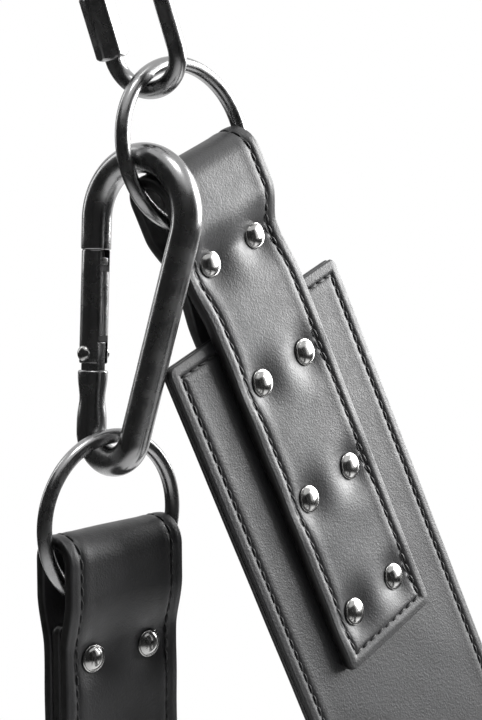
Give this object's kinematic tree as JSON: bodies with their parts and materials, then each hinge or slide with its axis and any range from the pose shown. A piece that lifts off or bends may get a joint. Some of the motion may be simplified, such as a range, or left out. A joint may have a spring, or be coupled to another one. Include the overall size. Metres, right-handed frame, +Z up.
{
  "type": "belt swing seat",
  "caption": "Wide leather belt hung in a U from two welded rings on quick links, with riveted hanger straps, spring snap hooks and leather foot loops.",
  "frame": {"origin": "midway between the inner tops of the two quick links, where they bear on whatever holds them", "axes": "+X from the left hanger to the right one, +Y the way the seat leans, +Z up"},
  "size_m": [0.531, 0.2376, 0.6056],
  "materials": {
    "black_leather": "fine grained, semi-matt, stitched edge",
    "dark_steel": "polished black nickel",
    "bright_nickel": "polished nickel"
  },
  "bodies": {
    "hangers": {"left_quick_link": "dark_steel", "right_quick_link": "dark_steel"},
    "left_nut": {"left_link_nut": "dark_steel"},
    "right_nut": {"right_link_nut": "dark_steel"},
    "seat": {"left_main_ring": "dark_steel", "right_main_ring": "dark_steel", "left_loop_strap": "black_leather", "right_loop_strap": "black_leather", "seat_belt_inner_ply": "black_leather", "seat_belt_outer_ply": "black_leather", "left_seat_rivet_1": "bright_nickel", "left_seat_rivet_2": "bright_nickel", "left_seat_rivet_3": "bright_nickel", "left_seat_rivet_4": "bright_nickel", "left_seat_rivet_5": "bright_nickel", "left_seat_rivet_6": "bright_nickel", "left_seat_rivet_7": "bright_nickel", "left_seat_rivet_8": "bright_nickel", "right_seat_rivet_1": "bright_nickel", "right_seat_rivet_2": "bright_nickel", "right_seat_rivet_3": "bright_nickel", "right_seat_rivet_4": "bright_nickel", "right_seat_rivet_5": "bright_nickel", "right_seat_rivet_6": "bright_nickel", "right_seat_rivet_7": "bright_nickel", "right_seat_rivet_8": "bright_nickel"},
    "left_hook": {"left_snap_hook": "dark_steel", "left_gate_pin": "dark_steel"},
    "left_gate": {"left_gate": "dark_steel", "left_gate_spring": "bright_nickel"},
    "left_lower_ring": {"left_lower_ring": "dark_steel"},
    "left_foot_loop": {"left_foot_loop_strap": "black_leather", "left_foot_belt": "black_leather", "left_foot_rivet_1": "bright_nickel", "left_foot_rivet_2": "bright_nickel", "left_foot_rivet_3": "bright_nickel", "left_foot_rivet_4": "bright_nickel", "left_foot_rivet_5": "bright_nickel", "left_foot_rivet_6": "bright_nickel", "left_join_rivet_1": "bright_nickel", "left_join_rivet_2": "bright_nickel"},
    "right_hook": {"right_snap_hook": "dark_steel", "right_gate_pin": "dark_steel"},
    "right_gate": {"right_gate": "dark_steel", "right_gate_spring": "bright_nickel"},
    "right_lower_ring": {"right_lower_ring": "dark_steel"},
    "right_foot_loop": {"right_foot_loop_strap": "black_leather", "right_foot_belt": "black_leather", "right_foot_rivet_1": "bright_nickel", "right_foot_rivet_2": "bright_nickel", "right_foot_rivet_3": "bright_nickel", "right_foot_rivet_4": "bright_nickel", "right_foot_rivet_5": "bright_nickel", "right_foot_rivet_6": "bright_nickel", "right_join_rivet_1": "bright_nickel", "right_join_rivet_2": "bright_nickel"}
  },
  "joints": [
    {"name": "left_nut_slide", "type": "slide", "parent": "hangers", "child": "left_nut", "axis": [-0.1401, -0.2601, 0.9554], "range_m": [0, 0.016]},
    {"name": "right_nut_slide", "type": "slide", "parent": "hangers", "child": "right_nut", "axis": [0.1401, -0.2601, 0.9554], "range_m": [0, 0.016]},
    {"name": "seat_swing", "type": "hinge", "parent": "hangers", "child": "seat", "pos_m": [0, 0.01587, -0.05828], "axis": [1, 0, 0], "range_deg": [-68, 32]},
    {"name": "left_hook_swing", "type": "hinge", "parent": "seat", "child": "left_hook", "pos_m": [-0.19214, 0.006, -0.07982], "axis": [1, 0, 0], "range_deg": [-75, 0]},
    {"name": "left_gate_turn", "type": "hinge", "parent": "left_hook", "child": "left_gate", "pos_m": [-0.21029, -0.00196, -0.14439], "axis": [0, 0.9925, -0.1223], "range_deg": [0, 25], "stiffness_Nm_per_rad": 0.3, "springref_deg": -17.19},
    {"name": "left_lower_ring_swing", "type": "hinge", "parent": "left_hook", "child": "left_lower_ring", "pos_m": [-0.19946, -0.00615, -0.1784], "axis": [1, 0, 0], "range_deg": [-50, 50]},
    {"name": "left_foot_swing", "type": "hinge", "parent": "left_lower_ring", "child": "left_foot_loop", "pos_m": [-0.19946, -0.00615, -0.2087], "axis": [-0.1045, -0.9945, 0], "range_deg": [-5, 5]},
    {"name": "right_hook_swing", "type": "hinge", "parent": "seat", "child": "right_hook", "pos_m": [0.19214, 0.006, -0.07982], "axis": [1, 0, 0], "range_deg": [-75, 0]},
    {"name": "right_gate_turn", "type": "hinge", "parent": "right_hook", "child": "right_gate", "pos_m": [0.21029, -0.00196, -0.14439], "axis": [0, -0.9925, 0.1223], "range_deg": [0, 25], "stiffness_Nm_per_rad": 0.3, "springref_deg": -17.19},
    {"name": "right_lower_ring_swing", "type": "hinge", "parent": "right_hook", "child": "right_lower_ring", "pos_m": [0.19946, -0.00615, -0.1784], "axis": [1, 0, 0], "range_deg": [-50, 50]},
    {"name": "right_foot_swing", "type": "hinge", "parent": "right_lower_ring", "child": "right_foot_loop", "pos_m": [0.19946, -0.00615, -0.2087], "axis": [-0.1045, 0.9945, 0], "range_deg": [-5, 5]}
  ]
}
